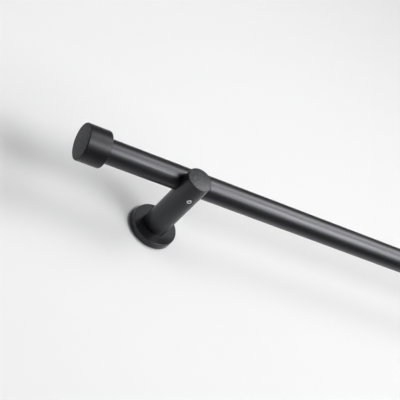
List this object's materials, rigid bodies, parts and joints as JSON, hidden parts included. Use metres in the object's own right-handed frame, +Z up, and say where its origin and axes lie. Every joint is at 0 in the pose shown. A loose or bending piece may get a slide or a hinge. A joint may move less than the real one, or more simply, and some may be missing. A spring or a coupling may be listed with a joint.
{
  "type": "curtain rod",
  "caption": "Black round wooden curtain rod lying in saddles of turned wall posts on round rosettes, with plain cylinder finials that pull off its ends.",
  "frame": {"origin": "on the wall plane, midway between the two hanger bolts", "axes": "+X along the rod to the right seen from the room, +Y into the wall, +Z up"},
  "size_m": [1.0184, 0.1529, 0.0625],
  "materials": {
    "rod_wood": "black satin lacquer, grain along the rod",
    "finial_wood": "black satin lacquer on turned wood",
    "post_wood": "black satin lacquer on turned wood",
    "rosette_wood": "black satin lacquer on turned wood",
    "insert_metal": "turned",
    "bolt_steel": "bright zinc plated",
    "screw_steel": "bright zinc plated"
  },
  "bodies": {
    "rod_and_brackets": {"rod": "rod_wood", "left_post": "post_wood", "left_rosette": "rosette_wood", "left_insert": "insert_metal", "left_hanger_bolt": "bolt_steel", "left_rod_screw": "screw_steel", "right_post": "post_wood", "right_rosette": "rosette_wood", "right_insert": "insert_metal", "right_hanger_bolt": "bolt_steel", "right_rod_screw": "screw_steel"},
    "left_finial": {"left_finial": "finial_wood"},
    "right_finial": {"right_finial": "finial_wood"}
  },
  "joints": [
    {"name": "left_finial_pull", "type": "slide", "parent": "rod_and_brackets", "child": "left_finial", "axis": [-1, 0, 0], "range_m": [0, 0.019]},
    {"name": "right_finial_pull", "type": "slide", "parent": "rod_and_brackets", "child": "right_finial", "axis": [1, 0, 0], "range_m": [0, 0.019]}
  ]
}
